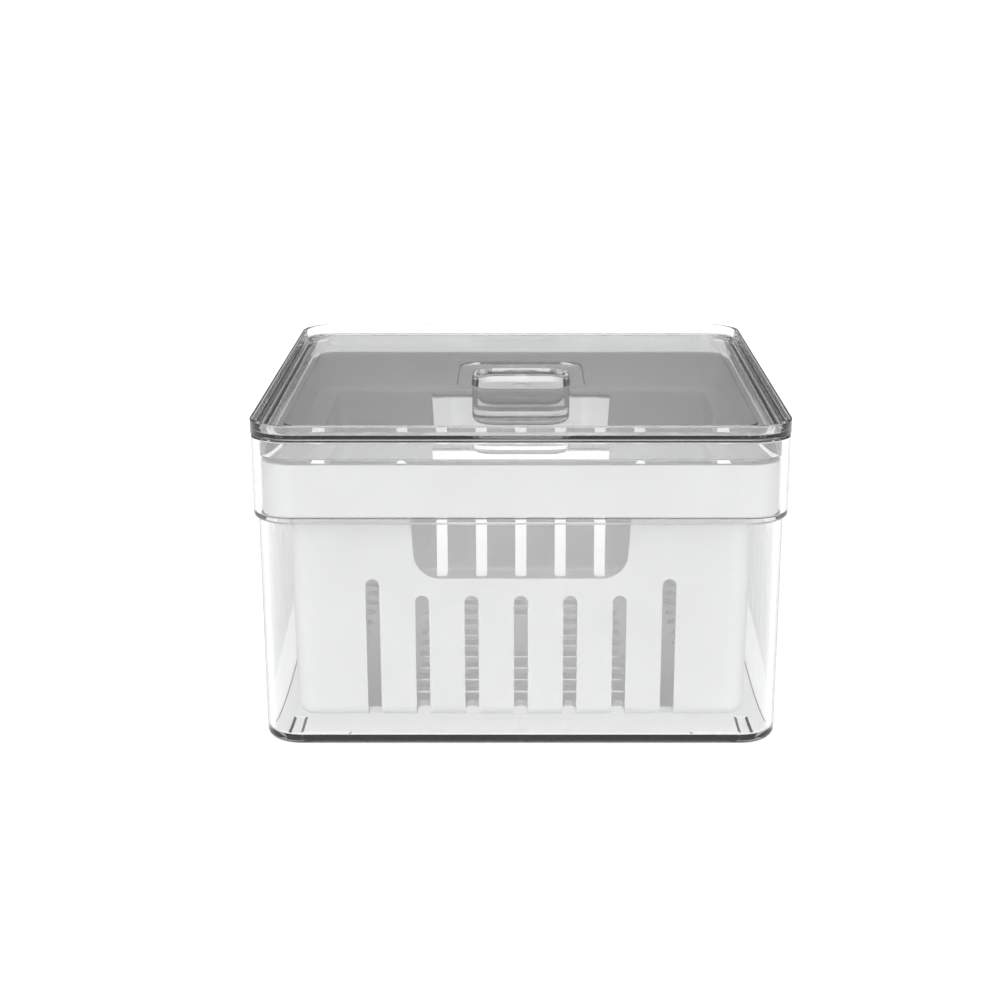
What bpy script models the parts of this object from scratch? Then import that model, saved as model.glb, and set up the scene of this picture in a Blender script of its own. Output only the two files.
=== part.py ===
"""Fridge bin: a clear square bin, a white colander basket that hangs inside it, and a clear lid.

Units are metres, +Z is up, the front of the bin faces -Y, and the origin is on the surface that
the bin stands on, under its middle. Every moulding is a stack of rounded-square rings, listed in
order along its cross-section and skinned together, with the drain slots cut out afterwards.
"""
import bpy
import bmesh
from math import cos, pi, sin
from mathutils import Matrix

MM = 0.001

# Rings
CORNER_STEPS = 8            # facets in each quarter turn of a rounded corner
FILLET_STEPS = 3            # facets in each quarter turn of a rounded edge
GAP = 0.3 * MM              # daylight left between pieces that rest on each other

# Outer bin
BIN_HALF = 80.05 * MM       # half width over the collar
BIN_CORNER = 12.7 * MM      # corner radius of the collar, seen from above
BIN_WALL = 2.0 * MM
BIN_STEP = 1.45 * MM        # how far the collar stands out over the lower walls
BIN_TOP = 96.3 * MM
BIN_LEDGE = 72.7 * MM       # height of the inside ledge that carries the basket
STEP_UNDER = 71.0 * MM      # where the lower walls start to turn out into the step
STEP_EDGE = 72.6 * MM       # where the collar's outer face starts
BIN_DRAFT = 0.1 * MM        # how much narrower, each side, the lower walls are at the floor
FLOOR_UNDER = 0.5 * MM      # underside of the floor, between the feet
FLOOR_TOP = 3.2 * MM
BIN_EDGE = 2.0 * MM         # outer rounding round the floor
BIN_INNER_EDGE = 0.8 * MM   # inner rounding round the floor
RIM_ROUND = 0.4 * MM        # small rounding on moulded top edges

# Corner feet, an L of raised pad under each corner of the floor
FOOT_WIDTH = 2.2 * MM
FOOT_OUTSIDE = 75.2 * MM    # outer edge of the leg along the front and back
FOOT_SIDE = 70.4 * MM       # outer edge of the leg along the sides
FOOT_FRONT_END = 53.4 * MM  # inner end of the leg along the front and back
FOOT_SIDE_END = 61.1 * MM   # inner end of the leg along the sides
FOOT_SINK = 0.6 * MM        # how far a foot reaches up into the floor that it is moulded with
FOOT_SLOPE = 1.2 * MM       # how far a foot's sides spread on the way up to the floor

# Colander basket
BAND_HALF = 77.3 * MM       # half width over the top band
BAND_CORNER = 10.0 * MM
BAND_WALL = 2.2 * MM
BASKET_TOP = 89.0 * MM
BAND_BOTTOM = BIN_LEDGE + GAP
SKIRT_WALL = 1.9 * MM       # thickness of the short skirt that sits on the bin's ledge
SHELF_UNDER = 74.7 * MM
SHELF_TOP = 76.1 * MM
BODY_HALF = 70.0 * MM       # half width of the basket's body under the shelf
BODY_CORNER = 6.5 * MM
BODY_DRAFT = 0.6 * MM
BODY_WALL = 1.9 * MM
BASKET_UNDER = 6.0 * MM
BASKET_FLOOR = 8.0 * MM
BODY_EDGE = 4.0 * MM        # outer rounding round the basket's floor
BODY_INNER_EDGE = 2.0 * MM

# Openings in the basket
SLOT_WIDTH = 4.2 * MM
SLOT_PITCH = 15.0 * MM
SLOT_REACH = 3              # slots on each side of the middle one
SLOT_TOP = 46.0 * MM
END_SLOT_TOP = 51.3 * MM    # the slot nearest each corner is taller
SLOT_ONTO_FLOOR = 60.0 * MM     # where the wall slots end under the floor, from the middle
END_SLOT_ONTO_FLOOR = 67.6 * MM
HOLD_HALF_TOP = 33.2 * MM   # hand-hold cut-out, half width at its top and bottom
HOLD_HALF_BOTTOM = 32.0 * MM
HOLD_TOP = 74.5 * MM
HOLD_BOTTOM = 51.5 * MM
HOLD_CORNER = 8.0 * MM
ROW_PITCH = 10.2 * MM       # floor slots, in rows from side to side
ROW_REACH = 5
ROW_WIDTH = 6.0 * MM
INNER_BLOCK = 34.3 * MM     # half length of the middle slots
OUTER_BLOCK_START = 51.5 * MM
OUTER_BLOCK_END = 57.5 * MM
DISC_RADIUS = 10.5 * MM     # solid disc in the middle of the floor
DISC_MARGIN = 1.6 * MM

# Lid
LID_HALF = 80.25 * MM
LID_CORNER = 13.0 * MM
LID_UNDER = BIN_TOP + GAP   # underside of the rim, over the bin's top edge
LID_TOP = 101.1 * MM
PLATE_UNDER = 96.6 * MM
CHANNEL_FLOOR = 98.1 * MM   # shallow channel all round, just inside the rim
PLATE_TOP = 98.95 * MM
PLATE_HALF = 70.5 * MM      # raised middle of the plate, inside the channel
PLATE_CORNER = 5.0 * MM
RIM_WIDTH = 1.6 * MM        # flat top of the raised rim
RIM_SLANT = 0.45 * MM       # how much wider the rim is at the channel
LIP_HALF = 77.6 * MM        # locating lip inside the bin's collar
LIP_ROOT = 1.75 * MM        # thickness of the lip under its cove and at its bottom edge
LIP_EDGE = 0.9 * MM
LIP_COVE = 1.7 * MM         # hollow rounding between the lip and the plate
LIP_BOTTOM = 90.5 * MM
DISH_HALF = 20.6 * MM       # shallow dish in the middle of the plate
DISH_CORNER = 7.0 * MM
DISH_FLOOR = 98.05 * MM
BLOCK_HALF = 16.0 * MM      # solid block that hangs under the dish
BLOCK_CORNER = 8.0 * MM
BLOCK_BOTTOM = 83.0 * MM
BLOCK_ROUND = 2.2 * MM


def clear_objects():
    """Remove the objects that the scene starts with."""
    for item in list(bpy.data.objects):
        bpy.data.objects.remove(item, do_unlink=True)


def make_material(name, colour, roughness, metallic=0.0, transmission=0.0, ior=1.5):
    """Principled material of one plastic."""
    material = bpy.data.materials.new(name)
    material.use_nodes = True
    shader = material.node_tree.nodes["Principled BSDF"]
    shader.inputs["Base Color"].default_value = (*colour, 1.0)
    shader.inputs["Roughness"].default_value = roughness
    shader.inputs["Metallic"].default_value = metallic
    shader.inputs["Transmission Weight"].default_value = transmission
    shader.inputs["IOR"].default_value = ior
    return material


def ring(half, corner, z):
    """One rounded square: half width, corner radius and height."""
    return (half, corner, z)


def ring_points(half, corner, z):
    """Points of a rounded square, anticlockwise from above."""
    points = []
    for quarter in range(4):
        turn = quarter * pi / 2
        for step in range(CORNER_STEPS + 1):
            angle = step / CORNER_STEPS * pi / 2
            x = half - corner + corner * cos(angle)
            y = half - corner + corner * sin(angle)
            points.append((x * cos(turn) - y * sin(turn), x * sin(turn) + y * cos(turn), z))
    return points


def rounded_edge(half, corner, z, radius, start, end, inset):
    """Rings round an edge of the given radius, whose centre is `inset` in from `half`.

    Angles run from 0, straight out, to 90 degrees, straight up.
    """
    rings = []
    for step in range(FILLET_STEPS + 1):
        angle = (start + (end - start) * step / FILLET_STEPS) * pi / 180
        out = radius * cos(angle) - inset
        rings.append(ring(half + out, max(corner + out, 0.5 * MM), z + radius * sin(angle)))
    return rings


def skin(name, rings, material):
    """Skin a stack of rings into one closed mesh, with a flat face over each end."""
    mesh = bpy.data.meshes.new(name)
    form = bmesh.new()
    loops = [[form.verts.new(point) for point in ring_points(*item)] for item in rings]
    count = len(loops[0])
    for lower, upper in zip(loops, loops[1:]):
        for index in range(count):
            after = (index + 1) % count
            form.faces.new((lower[index], lower[after], upper[after], upper[index]))
    form.faces.new(list(reversed(loops[0])))
    form.faces.new(loops[-1])
    form.to_mesh(mesh)
    form.free()
    mesh.shade_smooth()
    mesh.set_sharp_from_angle(angle=30 * pi / 180)
    mesh.materials.append(material)
    return add_object(name, mesh)


def add_object(name, mesh, place=None):
    """Put a mesh into the scene under its name."""
    item = bpy.data.objects.new(name, mesh)
    bpy.context.scene.collection.objects.link(item)
    if place is not None:
        item.matrix_world = place
    return item


def prism(form, outline, depth, place):
    """Add a closed prism to a bmesh: an outline in its own XY plane, extruded along its Z."""
    near = [form.verts.new(place @ Matrix.Translation((x, y, 0)).translation) for x, y in outline]
    lift = Matrix.Translation((0, 0, depth))
    far = [form.verts.new(place @ (lift @ Matrix.Translation((x, y, 0))).translation)
           for x, y in outline]
    count = len(outline)
    form.faces.new(list(reversed(near)))
    form.faces.new(far)
    for index in range(count):
        after = (index + 1) % count
        form.faces.new((near[index], near[after], far[after], far[index]))


def arc(x, y, radius, start, end, steps):
    """Points on an arc, in degrees."""
    angles = [(start + (end - start) * step / steps) * pi / 180 for step in range(steps + 1)]
    return [(x + radius * cos(angle), y + radius * sin(angle)) for angle in angles]


def stadium(length_start, length_end, width):
    """Outline of a slot with round ends, lying along its own X."""
    radius = width / 2
    right = arc(length_end - radius, 0, radius, -90, 90, 6)
    left = arc(length_start + radius, 0, radius, 90, 270, 6)
    return right + left


def make_cutter(name, form):
    """Turn a bmesh of closed prisms into a hidden cutter."""
    mesh = bpy.data.meshes.new(name)
    form.to_mesh(mesh)
    form.free()
    cutter = add_object(name, mesh)
    cutter.hide_render = True
    cutter.display_type = "WIRE"
    return cutter


def add_boolean(item, cutter, operation):
    """Cut or join with another object, exactly."""
    modifier = item.modifiers.new(cutter.name, "BOOLEAN")
    modifier.operation = operation
    modifier.solver = "EXACT"
    modifier.object = cutter


def build_bin(clear):
    """Clear outer bin with its step, collar, inside ledge and corner feet."""
    lower = BIN_HALF - BIN_STEP
    lower_corner = BIN_CORNER - BIN_STEP
    foot_half = lower - BIN_DRAFT
    inner = lower - BIN_WALL
    inner_corner = lower_corner - BIN_WALL
    rings = []
    rings += rounded_edge(foot_half, lower_corner, FLOOR_UNDER + BIN_EDGE, BIN_EDGE, -90, 0, BIN_EDGE)
    rings.append(ring(lower, lower_corner, STEP_UNDER))
    rings.append(ring(BIN_HALF - 0.3 * MM, BIN_CORNER - 0.3 * MM, STEP_EDGE - 0.5 * MM))
    rings.append(ring(BIN_HALF, BIN_CORNER, STEP_EDGE))
    rings += rounded_edge(BIN_HALF, BIN_CORNER, BIN_TOP - RIM_ROUND, RIM_ROUND, 0, 90, RIM_ROUND)
    collar_inner = BIN_HALF - BIN_WALL
    rings.append(ring(collar_inner, BIN_CORNER - BIN_WALL, BIN_TOP))
    rings.append(ring(collar_inner, BIN_CORNER - BIN_WALL, BIN_LEDGE))
    rings.append(ring(inner, inner_corner, BIN_LEDGE))
    floor_inner = inner - BIN_DRAFT
    cove = rounded_edge(floor_inner, inner_corner, FLOOR_TOP + BIN_INNER_EDGE,
                        BIN_INNER_EDGE, 0, -90, BIN_INNER_EDGE)
    rings += cove
    bin_body = skin("outer_bin", rings, clear)
    add_boolean(bin_body, build_feet(), "UNION")
    return bin_body


def foot_outline(grow):
    """L-shaped outline of the foot under the corner at +X and +Y, grown on all sides."""
    outer_x = FOOT_SIDE + grow
    outer_y = FOOT_OUTSIDE + grow
    inside_x = FOOT_SIDE - FOOT_WIDTH - grow
    inside_y = FOOT_OUTSIDE - FOOT_WIDTH - grow
    side_end = FOOT_SIDE_END - grow
    front_end = FOOT_FRONT_END - grow
    turn = arc(FOOT_SIDE - FOOT_WIDTH, FOOT_OUTSIDE - FOOT_WIDTH, FOOT_WIDTH + grow, 0, 90, 6)
    return ([(inside_x, side_end), (outer_x, side_end)] + turn
            + [(front_end, outer_y), (front_end, inside_y), (inside_x, inside_y)])


def add_foot(form, sign_x, sign_y):
    """One foot: sloping sides from its underside up to the floor, then straight up into the floor."""
    levels = [(0.0, 0.0), (FLOOR_UNDER, FOOT_SLOPE), (FLOOR_UNDER + FOOT_SINK, FOOT_SLOPE)]
    loops = []
    for height, grow in levels:
        outline = [(x * sign_x, y * sign_y) for x, y in foot_outline(grow)]
        if sign_x * sign_y < 0:
            outline.reverse()
        loops.append([form.verts.new((x, y, height)) for x, y in outline])
    count = len(loops[0])
    form.faces.new(list(reversed(loops[0])))
    form.faces.new(loops[-1])
    for lower, upper in zip(loops, loops[1:]):
        for index in range(count):
            after = (index + 1) % count
            form.faces.new((lower[index], lower[after], upper[after], upper[index]))


def build_feet():
    """Four feet, mirrored into the corners, as one joining solid."""
    form = bmesh.new()
    for sign_x in (1, -1):
        for sign_y in (1, -1):
            add_foot(form, sign_x, sign_y)
    return make_cutter("feet_joined", form)


def build_basket(white):
    """White colander basket: band, shelf, slotted walls and slotted floor."""
    rings = []
    low_half = BODY_HALF - BODY_DRAFT
    rings += rounded_edge(low_half, BODY_CORNER, BASKET_UNDER + BODY_EDGE, BODY_EDGE, -90, 0, BODY_EDGE)
    rings.append(ring(BODY_HALF, BODY_CORNER, SHELF_UNDER))
    skirt = BAND_HALF - SKIRT_WALL
    rings.append(ring(skirt, BAND_CORNER - SKIRT_WALL, SHELF_UNDER))
    rings.append(ring(skirt, BAND_CORNER - SKIRT_WALL, BAND_BOTTOM))
    rings.append(ring(BAND_HALF, BAND_CORNER, BAND_BOTTOM))
    rings += rounded_edge(BAND_HALF, BAND_CORNER, BASKET_TOP - RIM_ROUND, RIM_ROUND, 0, 90, RIM_ROUND)
    band_inner = BAND_HALF - BAND_WALL
    band_corner = BAND_CORNER - BAND_WALL
    rings += rounded_edge(band_inner, band_corner, BASKET_TOP - RIM_ROUND, RIM_ROUND, 90, 180, -RIM_ROUND)
    rings.append(ring(band_inner, band_corner, SHELF_TOP))
    inner = BODY_HALF - BODY_WALL
    inner_corner = BODY_CORNER - BODY_WALL
    rings.append(ring(inner, inner_corner, SHELF_TOP))
    rings += rounded_edge(inner - BODY_DRAFT, inner_corner, BASKET_FLOOR + BODY_INNER_EDGE,
                          BODY_INNER_EDGE, 0, -90, BODY_INNER_EDGE)
    basket = skin("colander_basket", rings, white)
    add_boolean(basket, build_wall_cutter(), "DIFFERENCE")
    add_boolean(basket, build_floor_cutter(), "DIFFERENCE")
    return basket


def wall_slot_outline(centre, top):
    """A wall slot, upright, with a round top, open at the bottom."""
    radius = SLOT_WIDTH / 2
    foot = BASKET_UNDER - 2 * MM
    crown = arc(centre, top - radius, radius, 0, 180, 6)
    return [(centre - radius, foot), (centre + radius, foot)] + crown


def hold_outline():
    """The hand-hold cut-out: flat top, sides that lean in, round lower corners."""
    lean = (HOLD_HALF_TOP - HOLD_HALF_BOTTOM) / (HOLD_TOP - HOLD_BOTTOM)
    side = HOLD_HALF_BOTTOM + lean * HOLD_CORNER
    right = arc(side - HOLD_CORNER, HOLD_BOTTOM + HOLD_CORNER, HOLD_CORNER, -90, 0, 6)
    left = [(-x, y) for x, y in reversed(right)]
    return left + right + [(HOLD_HALF_TOP, HOLD_TOP), (-HOLD_HALF_TOP, HOLD_TOP)]


def build_wall_cutter():
    """Slots and hand-hold cut-outs in all four walls."""
    form = bmesh.new()
    reach_in = BODY_HALF - BODY_WALL - BODY_DRAFT - BODY_INNER_EDGE - 0.1 * MM
    depth = BODY_HALF + 1 * MM - reach_in
    for quarter in range(4):
        upright = Matrix.Rotation(pi / 2, 4, "X")
        place = Matrix.Rotation(quarter * pi / 2, 4, "Z") @ Matrix.Translation((0, -reach_in, 0)) @ upright
        for number in range(-SLOT_REACH, SLOT_REACH + 1):
            top = END_SLOT_TOP if abs(number) == SLOT_REACH else SLOT_TOP
            prism(form, wall_slot_outline(number * SLOT_PITCH, top), depth, place)
        prism(form, hold_outline(), depth, place)
    return make_cutter("wall_openings", form)


def row_spans(y):
    """Stretches of one row of floor slots, clear of the solid disc in the middle."""
    spans = []
    keep_off = DISC_RADIUS
    near = abs(y) - ROW_WIDTH / 2
    if near < keep_off:
        edge = (keep_off ** 2 - max(near, 0) ** 2) ** 0.5 + DISC_MARGIN
        spans += [(-INNER_BLOCK, -edge), (edge, INNER_BLOCK)]
    else:
        spans.append((-INNER_BLOCK, INNER_BLOCK))
    spans += [(OUTER_BLOCK_START, OUTER_BLOCK_END), (-OUTER_BLOCK_END, -OUTER_BLOCK_START)]
    return spans


def build_floor_cutter():
    """Rows of floor slots, and the ends of the wall slots that run on under the floor."""
    form = bmesh.new()
    depth = BASKET_FLOOR - BASKET_UNDER + 2 * MM
    base = Matrix.Translation((0, 0, BASKET_UNDER - 1 * MM))
    for row in range(-ROW_REACH, ROW_REACH + 1):
        y = row * ROW_PITCH
        for start, end in row_spans(y):
            prism(form, stadium(start, end, ROW_WIDTH), depth, base @ Matrix.Translation((0, y, 0)))
    for quarter in range(4):
        turn = Matrix.Rotation(quarter * pi / 2, 4, "Z")
        for number in range(-SLOT_REACH, SLOT_REACH + 1):
            end_slot = abs(number) == SLOT_REACH
            inner_end = END_SLOT_ONTO_FLOOR if end_slot else SLOT_ONTO_FLOOR
            outline = stadium(inner_end, BODY_HALF + 3 * MM, SLOT_WIDTH)
            shift = Matrix.Translation((0, number * SLOT_PITCH, 0))
            prism(form, outline, depth, base @ turn @ shift)
    return make_cutter("floor_openings", form)


def build_lid(clear):
    """Clear lid: rim, channel, plate, locating lip, and a shallow dish with a solid block under it."""
    rings = rounded_edge(BLOCK_HALF, BLOCK_CORNER, BLOCK_BOTTOM + BLOCK_ROUND, BLOCK_ROUND, -90, 0, BLOCK_ROUND)
    rings.append(ring(BLOCK_HALF, BLOCK_CORNER, PLATE_UNDER))
    lip_corner = LID_CORNER - (LID_HALF - LIP_HALF)
    cove = LIP_HALF - LIP_ROOT - LIP_COVE
    cove_corner = lip_corner - LIP_ROOT - LIP_COVE
    rings += rounded_edge(cove, cove_corner, PLATE_UNDER - LIP_COVE, LIP_COVE, 90, 10, 0.0)
    rings.append(ring(LIP_HALF - LIP_EDGE, lip_corner - LIP_EDGE, LIP_BOTTOM))
    rings.append(ring(LIP_HALF, lip_corner, LIP_BOTTOM))
    rings.append(ring(LIP_HALF, lip_corner, LID_UNDER))
    rings += rounded_edge(LID_HALF, LID_CORNER, LID_UNDER + RIM_ROUND, RIM_ROUND, -90, 0, RIM_ROUND)
    rings += rounded_edge(LID_HALF, LID_CORNER, LID_TOP - RIM_ROUND, RIM_ROUND, 0, 90, RIM_ROUND)
    rim_inner = LID_HALF - RIM_WIDTH
    channel = rim_inner - RIM_SLANT
    rings.append(ring(rim_inner, LID_CORNER - RIM_WIDTH, LID_TOP))
    rings.append(ring(channel, LID_CORNER - RIM_WIDTH - RIM_SLANT, CHANNEL_FLOOR))
    rings.append(ring(PLATE_HALF, PLATE_CORNER, CHANNEL_FLOOR))
    rings += rounded_edge(PLATE_HALF, PLATE_CORNER, PLATE_TOP - RIM_ROUND, RIM_ROUND, 0, 90, RIM_ROUND)
    rings.append(ring(DISH_HALF, DISH_CORNER, PLATE_TOP))
    rings.append(ring(DISH_HALF, DISH_CORNER, DISH_FLOOR))
    return skin("lid", rings, clear)


def main():
    clear_objects()
    clear = make_material("clear_plastic", (0.93, 0.94, 0.95), 0.04, transmission=1.0, ior=1.57)
    white = make_material("white_plastic", (0.86, 0.86, 0.86), 0.42)
    build_bin(clear)
    build_basket(white)
    build_lid(clear)


main()
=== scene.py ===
"""Looks of the fridge bin: a clear bin, a white colander basket and a clear lid, in fine meshes.

Units are metres, +Z is up and the front faces -Y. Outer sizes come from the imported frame; the
smaller ones are named below. Each moulding is a stack of rounded-square rings, listed in order
along its cross-section and skinned together, with its openings cut out afterwards.
"""

from math import cos, pi, radians, sin

import bmesh
import bpy
from mathutils import Matrix, Vector


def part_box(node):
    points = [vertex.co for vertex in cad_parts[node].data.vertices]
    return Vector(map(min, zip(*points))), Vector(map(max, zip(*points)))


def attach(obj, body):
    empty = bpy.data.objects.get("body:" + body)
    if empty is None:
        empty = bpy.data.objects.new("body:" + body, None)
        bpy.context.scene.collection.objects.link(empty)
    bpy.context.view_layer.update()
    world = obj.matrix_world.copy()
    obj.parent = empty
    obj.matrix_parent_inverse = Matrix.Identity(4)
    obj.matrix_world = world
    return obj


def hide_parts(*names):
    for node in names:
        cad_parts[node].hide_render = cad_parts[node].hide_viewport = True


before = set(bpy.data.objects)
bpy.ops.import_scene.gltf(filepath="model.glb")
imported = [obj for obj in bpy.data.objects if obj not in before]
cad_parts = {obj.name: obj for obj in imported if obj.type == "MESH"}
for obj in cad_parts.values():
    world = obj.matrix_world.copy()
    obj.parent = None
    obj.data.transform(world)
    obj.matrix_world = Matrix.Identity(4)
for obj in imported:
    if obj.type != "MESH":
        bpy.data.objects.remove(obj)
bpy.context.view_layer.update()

MM = 0.001
CORNER_STEPS = 24           # facets in each quarter turn of a rounded corner
ROUND_STEPS = 6             # facets in each quarter turn of a rounded edge
SMOOTH_ANGLE = radians(20)

BIN_LOW, BIN_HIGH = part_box("outer_bin")
BASKET_LOW, BASKET_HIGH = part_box("colander_basket")
LID_LOW, LID_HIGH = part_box("lid")

# Outer bin
BIN_HALF = BIN_HIGH.x
BIN_TOP = BIN_HIGH.z
BIN_CORNER = 12.7 * MM
BIN_WALL = 2.0 * MM
BIN_STEP = 1.45 * MM        # how far the collar stands out over the lower walls
BIN_LEDGE = 72.7 * MM       # inside ledge that carries the basket
STEP_UNDER = 70.9 * MM
STEP_COVE = 0.35 * MM
BIN_DRAFT = 0.1 * MM
FLOOR_UNDER = 0.5 * MM
FLOOR_TOP = 3.2 * MM
BIN_EDGE = 2.0 * MM
BIN_INNER_EDGE = 0.8 * MM
TOP_ROUND = 0.4 * MM

# Corner feet, measured on their undersides
FOOT_WIDTH = 2.8 * MM
FOOT_OUTSIDE = 75.5 * MM    # outer edge of the leg along the front and back
FOOT_SIDE = 70.7 * MM       # outer edge of the leg along the sides
FOOT_FRONT_END = 53.1 * MM  # inner end of the leg along the front and back
FOOT_SIDE_END = 60.8 * MM   # inner end of the leg along the sides
FOOT_SINK = 0.6 * MM        # how far a foot reaches up into the floor
FOOT_SLOPE = 0.9 * MM       # how far a foot's sides spread on the way up to the floor

# Colander basket
BAND_HALF = BASKET_HIGH.x
BASKET_TOP = BASKET_HIGH.z
BASKET_UNDER = BASKET_LOW.z
BAND_CORNER = 10.0 * MM
BAND_WALL = 2.2 * MM
BAND_BOTTOM = BIN_LEDGE + 0.3 * MM
SKIRT_WALL = 1.9 * MM
SHELF_UNDER = 74.7 * MM
SHELF_TOP = 76.1 * MM
BODY_HALF = 70.0 * MM
BODY_CORNER = 6.5 * MM
BODY_DRAFT = 0.6 * MM
BODY_WALL = 1.9 * MM
BASKET_FLOOR = BASKET_UNDER + 2.0 * MM
BODY_EDGE = 4.0 * MM
BODY_INNER_EDGE = 2.0 * MM

# Openings in the basket
SLOT_WIDTH = 4.2 * MM
SLOT_PITCH = 15.0 * MM
SLOT_REACH = 3
SLOT_TOP = 46.0 * MM
END_SLOT_TOP = 51.3 * MM
SLOT_ONTO_FLOOR = 60.0 * MM
END_SLOT_ONTO_FLOOR = 67.6 * MM
HOLD_HALF_TOP = 33.2 * MM
HOLD_HALF_BOTTOM = 32.0 * MM
HOLD_TOP = 74.5 * MM
HOLD_BOTTOM = 51.5 * MM
HOLD_CORNER = 8.0 * MM
ROW_PITCH = 10.2 * MM
ROW_REACH = 5
ROW_WIDTH = 6.0 * MM
INNER_BLOCK = 34.3 * MM
OUTER_BLOCK_START = 51.5 * MM
OUTER_BLOCK_END = 57.5 * MM
DISC_RADIUS = 10.5 * MM
DISC_MARGIN = 1.6 * MM

# Lid
LID_HALF = LID_HIGH.x
LID_TOP = LID_HIGH.z
BLOCK_BOTTOM = LID_LOW.z
LID_CORNER = 13.0 * MM
LID_UNDER = BIN_TOP + 0.3 * MM
PLATE_UNDER = 96.6 * MM
CHANNEL_FLOOR = 98.1 * MM   # shallow channel all round, just inside the rim
PLATE_TOP = 98.95 * MM
PLATE_HALF = 70.5 * MM      # raised middle of the plate, inside the channel
PLATE_CORNER = 5.0 * MM
RIM_WIDTH = 1.6 * MM
RIM_SLANT = 0.45 * MM       # how much wider the rim is at the channel
LIP_HALF = 77.6 * MM        # locating lip inside the bin's collar
LIP_ROOT = 1.75 * MM        # thickness of the lip under its cove
LIP_EDGE = 0.9 * MM         # and at its bottom edge
LIP_COVE = 1.7 * MM         # hollow rounding between the lip and the plate
LIP_BOTTOM = 90.5 * MM
DISH_HALF = 20.6 * MM       # shallow dish in the middle of the plate
DISH_CORNER = 7.0 * MM
DISH_FLOOR = 98.05 * MM
BLOCK_HALF = 16.0 * MM      # solid block that hangs under the dish
BLOCK_CORNER = 8.0 * MM
BLOCK_ROUND = 2.2 * MM
GATE_RADIUS = 2.85 * MM     # small round gate mark in the middle of the block's underside
GATE_DEPTH = 0.2 * MM

# Studio
LIGHTS = (                  # direction, how close to it the light begins, and strength
    ((0.0, -1.0, 0.05), 0.2, 1.85),
    ((0.0, -0.55, 0.835), 0.25, 1.0),
    ((-0.95, -0.3, 0.1), 0.45, 0.5),
    ((0.95, -0.3, 0.1), 0.45, 0.5),
)
BACK_LIGHT = 0.22           # light that comes from everywhere, and alone from behind
FLOOR_REACH = 40.0
FLOOR_DROP = 0.2 * MM       # how far the floor lies under the feet
CAMERA_PLACE = (0.0, -0.5821, 0.2261)
CAMERA_DOWN = radians(16.33)
CAMERA_LENS = 64.37
CAMERA_SHIFT = -0.02085
BOUNCES = 32                # enough for light to leave nested clear walls
GLOSSY_BOUNCES = 8          # few, so that light caught inside a plate's edge stays dark


def ring(half, corner, z):
    """One rounded square: half width, corner radius and height."""
    return (half, corner, z)


def ring_points(half, corner, z):
    """Points of a rounded square, anticlockwise from above."""
    points = []
    for quarter in range(4):
        turn = quarter * pi / 2
        for step in range(CORNER_STEPS + 1):
            angle = step / CORNER_STEPS * pi / 2
            x = half - corner + corner * cos(angle)
            y = half - corner + corner * sin(angle)
            points.append((x * cos(turn) - y * sin(turn), x * sin(turn) + y * cos(turn), z))
    return points


def round_edge(half, corner, z, radius, start, end):
    """Rings round an edge whose centre line is the ring (half, corner, z).

    Angles run from 0, straight out, to 90 degrees, straight up.
    """
    rings = []
    steps = max(2, round(ROUND_STEPS * abs(end - start) / 90))
    for step in range(steps + 1):
        angle = radians(start + (end - start) * step / steps)
        out = radius * cos(angle)
        rings.append(ring(half + out, max(corner + out, 0.4 * MM), z + radius * sin(angle)))
    return rings


def skin(name, rings):
    """Skin a stack of rings into one closed object, with a flat face over each end."""
    mesh = bpy.data.meshes.new(name)
    form = bmesh.new()
    loops = [[form.verts.new(point) for point in ring_points(*item)] for item in rings]
    count = len(loops[0])
    for lower, upper in zip(loops, loops[1:]):
        for index in range(count):
            after = (index + 1) % count
            form.faces.new((lower[index], lower[after], upper[after], upper[index]))
    form.faces.new(list(reversed(loops[0])))
    form.faces.new(loops[-1])
    form.to_mesh(mesh)
    form.free()
    return add_object(name, mesh)


def add_object(name, mesh):
    """Put a mesh into the scene under its name."""
    item = bpy.data.objects.new(name, mesh)
    bpy.context.scene.collection.objects.link(item)
    return item


def prism(form, outline, depth, place):
    """Add a closed prism to a bmesh: an outline in its own XY plane, extruded along its Z."""
    near = [form.verts.new(place @ Vector((x, y, 0.0))) for x, y in outline]
    far = [form.verts.new(place @ Vector((x, y, depth))) for x, y in outline]
    count = len(outline)
    form.faces.new(list(reversed(near)))
    form.faces.new(far)
    for index in range(count):
        after = (index + 1) % count
        form.faces.new((near[index], near[after], far[after], far[index]))


def arc(x, y, radius, start, end, steps):
    """Points on an arc, in degrees."""
    angles = [radians(start + (end - start) * step / steps) for step in range(steps + 1)]
    return [(x + radius * cos(angle), y + radius * sin(angle)) for angle in angles]


def stadium(length_start, length_end, width):
    """Outline of a slot with round ends, lying along its own X."""
    radius = width / 2
    right = arc(length_end - radius, 0, radius, -90, 90, 16)
    left = arc(length_start + radius, 0, radius, 90, 270, 16)
    return right + left


def combine(item, form, operation):
    """Cut a bmesh of closed prisms from an object, or join it on, and keep the result."""
    mesh = bpy.data.meshes.new(item.name + "_tool")
    form.to_mesh(mesh)
    form.free()
    tool = add_object(item.name + "_tool", mesh)
    modifier = item.modifiers.new("combine", "BOOLEAN")
    modifier.operation = operation
    modifier.solver = "EXACT"
    modifier.object = tool
    keep_modifiers(item)
    bpy.data.objects.remove(tool, do_unlink=True)
    bpy.data.meshes.remove(mesh)


def keep_modifiers(item):
    """Replace an object's mesh by what its modifiers make of it."""
    graph = bpy.context.evaluated_depsgraph_get()
    made = bpy.data.meshes.new_from_object(item.evaluated_get(graph))
    before = item.data
    item.modifiers.clear()
    item.data = made
    bpy.data.meshes.remove(before)


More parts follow.
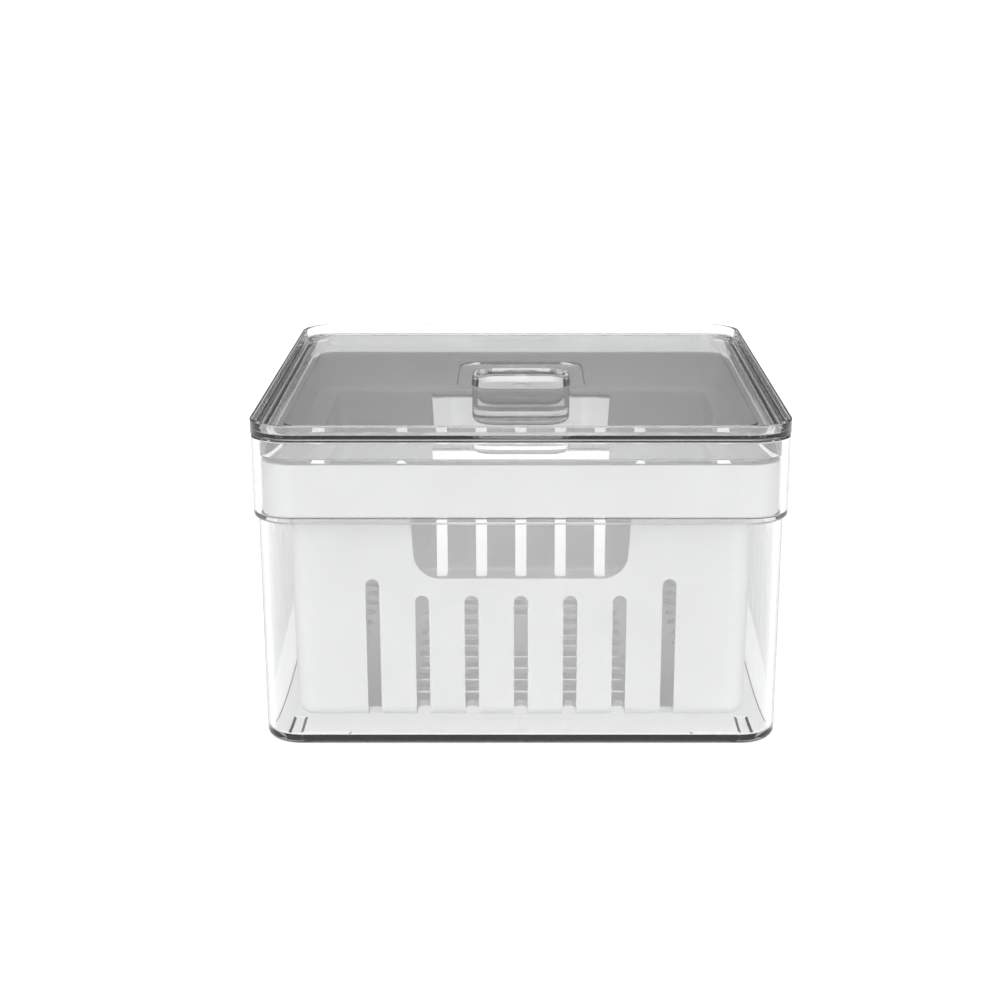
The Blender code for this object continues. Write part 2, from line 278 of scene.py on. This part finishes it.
def smooth(item):
    """Shade smooth over roundings, keep crisp edges, and keep the large faces truly flat."""
    item.data.shade_smooth()
    item.data.set_sharp_from_angle(angle=SMOOTH_ANGLE)
    modifier = item.modifiers.new("flat_faces", "WEIGHTED_NORMAL")
    modifier.mode = "FACE_AREA"
    modifier.weight = 100
    modifier.keep_sharp = True
    keep_modifiers(item)


def finish_piece(item, material, body, node):
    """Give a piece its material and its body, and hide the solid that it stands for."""
    item.data.materials.clear()
    item.data.materials.append(material)
    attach(item, body)
    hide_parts(node)


# Clear bin

def bin_rings():
    """Cross-section of the bin, from under the floor, up outside, over the rim and down inside."""
    lower = BIN_HALF - BIN_STEP
    lower_corner = BIN_CORNER - BIN_STEP
    base = lower - BIN_DRAFT
    inner = lower - BIN_WALL
    inner_corner = lower_corner - BIN_WALL
    collar = BIN_HALF - BIN_WALL
    collar_corner = BIN_CORNER - BIN_WALL
    turn = BIN_STEP - STEP_COVE
    ledge_cove = 0.5 * MM
    ledge_edge = 0.4 * MM
    rings = round_edge(base - BIN_EDGE, lower_corner - BIN_EDGE, FLOOR_UNDER + BIN_EDGE,
                       BIN_EDGE, -90, 0)
    rings += round_edge(lower + STEP_COVE, lower_corner + STEP_COVE, STEP_UNDER, STEP_COVE, 180, 90)
    rings += round_edge(BIN_HALF - turn, BIN_CORNER - turn, STEP_UNDER + BIN_STEP, turn, -90, 0)[1:]
    rings += round_edge(BIN_HALF - TOP_ROUND, BIN_CORNER - TOP_ROUND, BIN_TOP - TOP_ROUND,
                        TOP_ROUND, 0, 90)
    rings += round_edge(collar + TOP_ROUND, collar_corner + TOP_ROUND, BIN_TOP - TOP_ROUND,
                        TOP_ROUND, 90, 180)
    rings += round_edge(collar - ledge_cove, collar_corner - ledge_cove, BIN_LEDGE + ledge_cove,
                        ledge_cove, 0, -90)
    rings += round_edge(inner + ledge_edge, inner_corner + ledge_edge, BIN_LEDGE - ledge_edge,
                        ledge_edge, 90, 180)
    floor_inner = inner - BIN_DRAFT - BIN_INNER_EDGE
    rings += round_edge(floor_inner, inner_corner - BIN_INNER_EDGE, FLOOR_TOP + BIN_INNER_EDGE,
                        BIN_INNER_EDGE, 0, -90)
    return rings


def foot_outline(grow):
    """L-shaped outline of the foot under the corner at +X and +Y, grown on all sides."""
    outer_x = FOOT_SIDE + grow
    outer_y = FOOT_OUTSIDE + grow
    inside_x = FOOT_SIDE - FOOT_WIDTH - grow
    inside_y = FOOT_OUTSIDE - FOOT_WIDTH - grow
    side_end = FOOT_SIDE_END - grow
    front_end = FOOT_FRONT_END - grow
    turn = arc(FOOT_SIDE - FOOT_WIDTH, FOOT_OUTSIDE - FOOT_WIDTH, FOOT_WIDTH + grow, 0, 90, 12)
    return ([(inside_x, side_end), (outer_x, side_end)] + turn
            + [(front_end, outer_y), (front_end, inside_y), (inside_x, inside_y)])


def add_foot(form, sign_x, sign_y):
    """One foot: sloping sides from its underside up to the floor, then straight up into the floor."""
    levels = [(0.0, 0.0), (FLOOR_UNDER, FOOT_SLOPE), (FLOOR_UNDER + FOOT_SINK, FOOT_SLOPE)]
    loops = []
    for height, grow in levels:
        outline = [(x * sign_x, y * sign_y) for x, y in foot_outline(grow)]
        if sign_x * sign_y < 0:
            outline.reverse()
        loops.append([form.verts.new((x, y, height)) for x, y in outline])
    count = len(loops[0])
    form.faces.new(list(reversed(loops[0])))
    form.faces.new(loops[-1])
    for lower, upper in zip(loops, loops[1:]):
        for index in range(count):
            after = (index + 1) % count
            form.faces.new((lower[index], lower[after], upper[after], upper[index]))


def feet():
    """Four feet, mirrored into the corners."""
    form = bmesh.new()
    for sign_x in (1, -1):
        for sign_y in (1, -1):
            add_foot(form, sign_x, sign_y)
    return form


def make_bin(material):
    """Clear bin with its step, collar, ledge and feet."""
    item = skin("clear_bin", bin_rings())
    combine(item, feet(), "UNION")
    smooth(item)
    finish_piece(item, material, "bin", "outer_bin")


# Colander basket

def basket_rings():
    """Cross-section of the basket, from under the floor, up outside, over the rim and down inside."""
    low = BODY_HALF - BODY_DRAFT
    skirt = BAND_HALF - SKIRT_WALL
    skirt_corner = BAND_CORNER - SKIRT_WALL
    band_inner = BAND_HALF - BAND_WALL
    band_corner = BAND_CORNER - BAND_WALL
    inner = BODY_HALF - BODY_WALL
    inner_corner = BODY_CORNER - BODY_WALL
    small = 0.5 * MM
    tiny = 0.25 * MM
    rings = round_edge(low - BODY_EDGE, BODY_CORNER - BODY_EDGE, BASKET_UNDER + BODY_EDGE,
                       BODY_EDGE, -90, 0)
    rings.append(ring(BODY_HALF, BODY_CORNER, SHELF_UNDER))
    rings.append(ring(skirt, skirt_corner, SHELF_UNDER))
    rings.append(ring(skirt, skirt_corner, BAND_BOTTOM))
    rings += round_edge(BAND_HALF - tiny, BAND_CORNER - tiny, BAND_BOTTOM + tiny, tiny, -90, 0)
    rings += round_edge(BAND_HALF - TOP_ROUND, BAND_CORNER - TOP_ROUND, BASKET_TOP - TOP_ROUND,
                        TOP_ROUND, 0, 90)
    rings += round_edge(band_inner + TOP_ROUND, band_corner + TOP_ROUND, BASKET_TOP - TOP_ROUND,
                        TOP_ROUND, 90, 180)
    rings += round_edge(band_inner - small, band_corner - small, SHELF_TOP + small, small, 0, -90)
    rings += round_edge(inner + small, inner_corner + small, SHELF_TOP - small, small, 90, 180)
    floor_inner = inner - BODY_DRAFT - BODY_INNER_EDGE
    rings += round_edge(floor_inner, inner_corner - BODY_INNER_EDGE, BASKET_FLOOR + BODY_INNER_EDGE,
                        BODY_INNER_EDGE, 0, -90)
    return rings


def wall_slot_outline(centre, top):
    """A wall slot, upright, with a round top, open at the bottom."""
    radius = SLOT_WIDTH / 2
    foot = BASKET_UNDER - 2 * MM
    crown = arc(centre, top - radius, radius, 0, 180, 16)
    return [(centre - radius, foot), (centre + radius, foot)] + crown


def hold_outline():
    """The hand-hold cut-out: flat top, sides that lean in, round lower corners."""
    lean = (HOLD_HALF_TOP - HOLD_HALF_BOTTOM) / (HOLD_TOP - HOLD_BOTTOM)
    side = HOLD_HALF_BOTTOM + lean * HOLD_CORNER
    right = arc(side - HOLD_CORNER, HOLD_BOTTOM + HOLD_CORNER, HOLD_CORNER, -90, 0, 16)
    left = [(-x, y) for x, y in reversed(right)]
    return left + right + [(HOLD_HALF_TOP, HOLD_TOP), (-HOLD_HALF_TOP, HOLD_TOP)]


def wall_openings():
    """Slots and hand-hold cut-outs in all four walls."""
    form = bmesh.new()
    reach_in = BODY_HALF - BODY_WALL - BODY_DRAFT - BODY_INNER_EDGE - 0.1 * MM
    depth = BODY_HALF + 1 * MM - reach_in
    upright = Matrix.Rotation(pi / 2, 4, "X")
    outwards = Matrix.Translation((0, -reach_in, 0))
    for quarter in range(4):
        place = Matrix.Rotation(quarter * pi / 2, 4, "Z") @ outwards @ upright
        for number in range(-SLOT_REACH, SLOT_REACH + 1):
            top = END_SLOT_TOP if abs(number) == SLOT_REACH else SLOT_TOP
            prism(form, wall_slot_outline(number * SLOT_PITCH, top), depth, place)
        prism(form, hold_outline(), depth, place)
    return form


def row_spans(y):
    """Stretches of one row of floor slots, clear of the solid disc in the middle."""
    spans = [(OUTER_BLOCK_START, OUTER_BLOCK_END), (-OUTER_BLOCK_END, -OUTER_BLOCK_START)]
    near = abs(y) - ROW_WIDTH / 2
    if near < DISC_RADIUS:
        edge = (DISC_RADIUS ** 2 - max(near, 0) ** 2) ** 0.5 + DISC_MARGIN
        return spans + [(-INNER_BLOCK, -edge), (edge, INNER_BLOCK)]
    return spans + [(-INNER_BLOCK, INNER_BLOCK)]


def floor_openings():
    """Rows of floor slots, and the ends of the wall slots that run on under the floor."""
    form = bmesh.new()
    depth = BASKET_FLOOR - BASKET_UNDER + 2 * MM
    base = Matrix.Translation((0, 0, BASKET_UNDER - 1 * MM))
    for row in range(-ROW_REACH, ROW_REACH + 1):
        y = row * ROW_PITCH
        for start, end in row_spans(y):
            prism(form, stadium(start, end, ROW_WIDTH), depth, base @ Matrix.Translation((0, y, 0)))
    for quarter in range(4):
        turn = Matrix.Rotation(quarter * pi / 2, 4, "Z")
        for number in range(-SLOT_REACH, SLOT_REACH + 1):
            inner_end = END_SLOT_ONTO_FLOOR if abs(number) == SLOT_REACH else SLOT_ONTO_FLOOR
            outline = stadium(inner_end, BODY_HALF + 3 * MM, SLOT_WIDTH)
            shift = Matrix.Translation((0, number * SLOT_PITCH, 0))
            prism(form, outline, depth, base @ turn @ shift)
    return form


def make_basket(material):
    """White colander basket: band, shelf, slotted walls and slotted floor."""
    item = skin("white_colander", basket_rings())
    combine(item, wall_openings(), "DIFFERENCE")
    combine(item, floor_openings(), "DIFFERENCE")
    smooth(item)
    finish_piece(item, material, "basket", "colander_basket")


# Clear lid

def lid_rings():
    """Cross-section of the lid, from the middle of the block's underside round to the dish."""
    tiny = 0.2 * MM
    base = 0.4 * MM
    slant = 12
    gate_draft = 0.15 * MM
    block_low = BLOCK_HALF - BLOCK_ROUND
    rim_inner = LID_HALF - RIM_WIDTH
    rim_corner = LID_CORNER - RIM_WIDTH
    channel = rim_inner - RIM_SLANT - base
    channel_corner = rim_corner - RIM_SLANT - base
    lip_corner = LID_CORNER - (LID_HALF - LIP_HALF)
    lip_cove = LIP_HALF - LIP_ROOT - LIP_COVE
    cove_corner = lip_corner - LIP_ROOT - LIP_COVE
    gate_corner = GATE_RADIUS - 0.1 * MM
    rings = [ring(GATE_RADIUS - gate_draft, gate_corner - gate_draft, BLOCK_BOTTOM + GATE_DEPTH)]
    rings.append(ring(GATE_RADIUS, gate_corner, BLOCK_BOTTOM))
    rings += round_edge(block_low, BLOCK_CORNER - BLOCK_ROUND, BLOCK_BOTTOM + BLOCK_ROUND,
                        BLOCK_ROUND, -90, 0)
    rings += round_edge(BLOCK_HALF + tiny, BLOCK_CORNER + tiny, PLATE_UNDER - tiny, tiny, 180, 90)
    rings += round_edge(lip_cove, cove_corner, PLATE_UNDER - LIP_COVE, LIP_COVE, 90, slant)
    rings.append(ring(LIP_HALF - LIP_EDGE, lip_corner - LIP_EDGE, LIP_BOTTOM + tiny))
    rings += round_edge(LIP_HALF - tiny, lip_corner - tiny, LIP_BOTTOM + tiny, tiny, -90, 0)
    rings.append(ring(LIP_HALF, lip_corner, LID_UNDER))
    rings += round_edge(LID_HALF - TOP_ROUND, LID_CORNER - TOP_ROUND, LID_UNDER + TOP_ROUND,
                        TOP_ROUND, -90, 0)
    rings += round_edge(LID_HALF - TOP_ROUND, LID_CORNER - TOP_ROUND, LID_TOP - TOP_ROUND,
                        TOP_ROUND, 0, 90)
    rings += round_edge(rim_inner + tiny, rim_corner + tiny, LID_TOP - tiny, tiny, 90, 180 - slant)
    rings += round_edge(channel, channel_corner, CHANNEL_FLOOR + base, base, -slant, -90)
    rings.append(ring(PLATE_HALF, PLATE_CORNER, CHANNEL_FLOOR))
    rings += round_edge(PLATE_HALF - base, PLATE_CORNER - base, PLATE_TOP - base, base, 0, 90)
    rings += round_edge(DISH_HALF + tiny, DISH_CORNER + tiny, PLATE_TOP - tiny, tiny, 90, 180)
    rings.append(ring(DISH_HALF, DISH_CORNER, DISH_FLOOR))
    return rings


def make_lid(material):
    """Clear lid: rim, plate, locating lip, and a shallow dish with a solid block under it."""
    item = skin("clear_lid", lid_rings())
    smooth(item)
    finish_piece(item, material, "lid", "lid")


# Materials

def new_material(name):
    """A material with its node tree and its shader."""
    material = bpy.data.materials.new(name)
    material.use_nodes = True
    tree = material.node_tree
    return material, tree, tree.nodes["Principled BSDF"]


def noise(tree, scale, detail, roughness=0.5):
    """Noise over the object's own coordinates, in metres."""
    place = tree.nodes.new("ShaderNodeTexCoord")
    texture = tree.nodes.new("ShaderNodeTexNoise")
    texture.inputs["Scale"].default_value = scale
    texture.inputs["Detail"].default_value = detail
    texture.inputs["Roughness"].default_value = roughness
    tree.links.new(place.outputs["Object"], texture.inputs["Vector"])
    return texture.outputs["Fac"]


def spread(tree, value, low, high):
    """Map a noise value onto a range."""
    node = tree.nodes.new("ShaderNodeMapRange")
    node.inputs["From Min"].default_value = 0.3
    node.inputs["From Max"].default_value = 0.7
    node.inputs["To Min"].default_value = low
    node.inputs["To Max"].default_value = high
    tree.links.new(value, node.inputs["Value"])
    return node.outputs["Result"]


def bump(tree, height, distance, strength, before=None):
    """Bump of the given depth, in metres, over an earlier bump."""
    node = tree.nodes.new("ShaderNodeBump")
    node.inputs["Distance"].default_value = distance
    node.inputs["Strength"].default_value = strength
    tree.links.new(height, node.inputs["Height"])
    if before is not None:
        tree.links.new(before, node.inputs["Normal"])
    return node.outputs["Normal"]


def clear_plastic():
    """Polished clear plastic: nearly colourless, darker the further light runs inside it."""
    material, tree, shader = new_material("clear_plastic")
    shader.inputs["Base Color"].default_value = (0.995, 0.998, 1.0, 1.0)
    shader.inputs["Transmission Weight"].default_value = 1.0
    shader.inputs["IOR"].default_value = 1.57
    handling = noise(tree, 45.0, 4.0, 0.6)
    tree.links.new(spread(tree, handling, 0.0, 0.01), shader.inputs["Roughness"])
    flow = noise(tree, 28.0, 1.0)
    tree.links.new(bump(tree, flow, 0.004 * MM, 0.02), shader.inputs["Normal"])
    inside = tree.nodes.new("ShaderNodeVolumeAbsorption")
    inside.inputs["Color"].default_value = (0.0, 0.0, 0.0, 1.0)
    inside.inputs["Density"].default_value = 10.0
    tree.links.new(inside.outputs["Volume"], tree.nodes["Material Output"].inputs["Volume"])
    return material


def white_plastic():
    """Matte white plastic with a fine spark-eroded grain and faint unevenness of tone."""
    material, tree, shader = new_material("white_plastic")
    tone = noise(tree, 35.0, 3.0)
    mix = tree.nodes.new("ShaderNodeMix")
    mix.data_type = "RGBA"
    mix.inputs["A"].default_value = (0.84, 0.84, 0.838, 1.0)
    mix.inputs["B"].default_value = (0.87, 0.87, 0.87, 1.0)
    tree.links.new(spread(tree, tone, 0.0, 1.0), mix.inputs["Factor"])
    tree.links.new(mix.outputs["Result"], shader.inputs["Base Color"])
    polish = noise(tree, 120.0, 3.0)
    tree.links.new(spread(tree, polish, 0.38, 0.5), shader.inputs["Roughness"])
    grain = noise(tree, 2600.0, 2.0, 0.6)
    pull = noise(tree, 60.0, 1.0)
    waves = bump(tree, pull, 0.1 * MM, 0.2)
    tree.links.new(bump(tree, grain, 0.03 * MM, 0.35, waves), shader.inputs["Normal"])
    shader.inputs["IOR"].default_value = 1.5
    return material


def floor_paper():
    """Matte white studio paper with a faint grain."""
    material, tree, shader = new_material("studio_paper")
    tone = noise(tree, 400.0, 4.0)
    mix = tree.nodes.new("ShaderNodeMix")
    mix.data_type = "RGBA"
    mix.inputs["A"].default_value = (0.34, 0.34, 0.34, 1.0)
    mix.inputs["B"].default_value = (0.36, 0.36, 0.36, 1.0)
    tree.links.new(tone, mix.inputs["Factor"])
    tree.links.new(mix.outputs["Result"], shader.inputs["Base Color"])
    shader.inputs["Roughness"].default_value = 0.95
    shader.inputs["Specular IOR Level"].default_value = 0.1
    shader.inputs["Emission Color"].default_value = (1.0, 1.0, 1.0, 1.0)
    shader.inputs["Emission Strength"].default_value = 0.8
    return material


# Studio

def make_floor():
    """Large pale floor, a hair under the feet."""
    mesh = bpy.data.meshes.new("studio_floor")
    corners = [(-1, -1), (1, -1), (1, 1), (-1, 1)]
    points = [(x * FLOOR_REACH, y * FLOOR_REACH, -FLOOR_DROP) for x, y in corners]
    mesh.from_pydata(points, [], [(0, 1, 2, 3)])
    mesh.materials.append(floor_paper())
    add_object("studio_floor", mesh)


def lobe(tree, place, axis, start, strength):
    """Brightness that rises softly from nothing to its full strength towards one direction."""
    along = tree.nodes.new("ShaderNodeVectorMath")
    along.operation = "DOT_PRODUCT"
    along.inputs[1].default_value = axis
    tree.links.new(place, along.inputs[0])
    rise = tree.nodes.new("ShaderNodeMapRange")
    rise.interpolation_type = "SMOOTHSTEP"
    rise.inputs["From Min"].default_value = start
    rise.inputs["From Max"].default_value = 1.0
    rise.inputs["To Min"].default_value = 0.0
    rise.inputs["To Max"].default_value = strength
    tree.links.new(along.outputs["Value"], rise.inputs["Value"])
    return rise.outputs["Result"]


def combined(tree, operation, value, other):
    """Two values put together by one math node; the first may be a plain number."""
    node = tree.nodes.new("ShaderNodeMath")
    node.operation = operation
    if isinstance(value, float):
        node.inputs[0].default_value = value
    else:
        tree.links.new(value, node.inputs[0])
    tree.links.new(other, node.inputs[1])
    return node.outputs["Value"]


def make_light():
    """Soft white light, strongest from the front and above, weaker from the sides, dim behind.

    Seen directly, the backdrop is plain white everywhere.
    """
    world = bpy.data.worlds.new("studio")
    bpy.context.scene.world = world
    world.use_nodes = True
    tree = world.node_tree
    place = tree.nodes.new("ShaderNodeTexCoord").outputs["Generated"]
    total = BACK_LIGHT
    for axis, start, strength in LIGHTS:
        total = combined(tree, "ADD", total, lobe(tree, place, axis, start, strength))
    seen = tree.nodes.new("ShaderNodeLightPath").outputs["Is Camera Ray"]
    total = combined(tree, "MAXIMUM", total, seen)
    tree.nodes["Background"].inputs["Color"].default_value = (1.0, 1.0, 1.0, 1.0)
    tree.links.new(total, tree.nodes["Background"].inputs["Strength"])


def make_camera():
    """Camera in front of the bin, looking down at it."""
    data = bpy.data.cameras.new("camera")
    data.lens = CAMERA_LENS
    data.sensor_width = 36.0
    data.shift_x = CAMERA_SHIFT
    data.clip_start = 0.01
    camera = bpy.data.objects.new("camera", data)
    camera.location = CAMERA_PLACE
    camera.rotation_euler = (pi / 2 - CAMERA_DOWN, 0.0, 0.0)
    bpy.context.scene.collection.objects.link(camera)
    bpy.context.scene.camera = camera


def set_render():
    """Plain view transform and the numbers of bounces."""
    scene = bpy.context.scene
    scene.view_settings.view_transform = "Standard"
    scene.cycles.max_bounces = BOUNCES
    scene.cycles.transmission_bounces = BOUNCES
    scene.cycles.glossy_bounces = GLOSSY_BOUNCES
    scene.cycles.transparent_max_bounces = 16


def main():
    clear = clear_plastic()
    make_bin(clear)
    make_basket(white_plastic())
    make_lid(clear)
    make_floor()
    make_light()
    make_camera()
    set_render()


main()
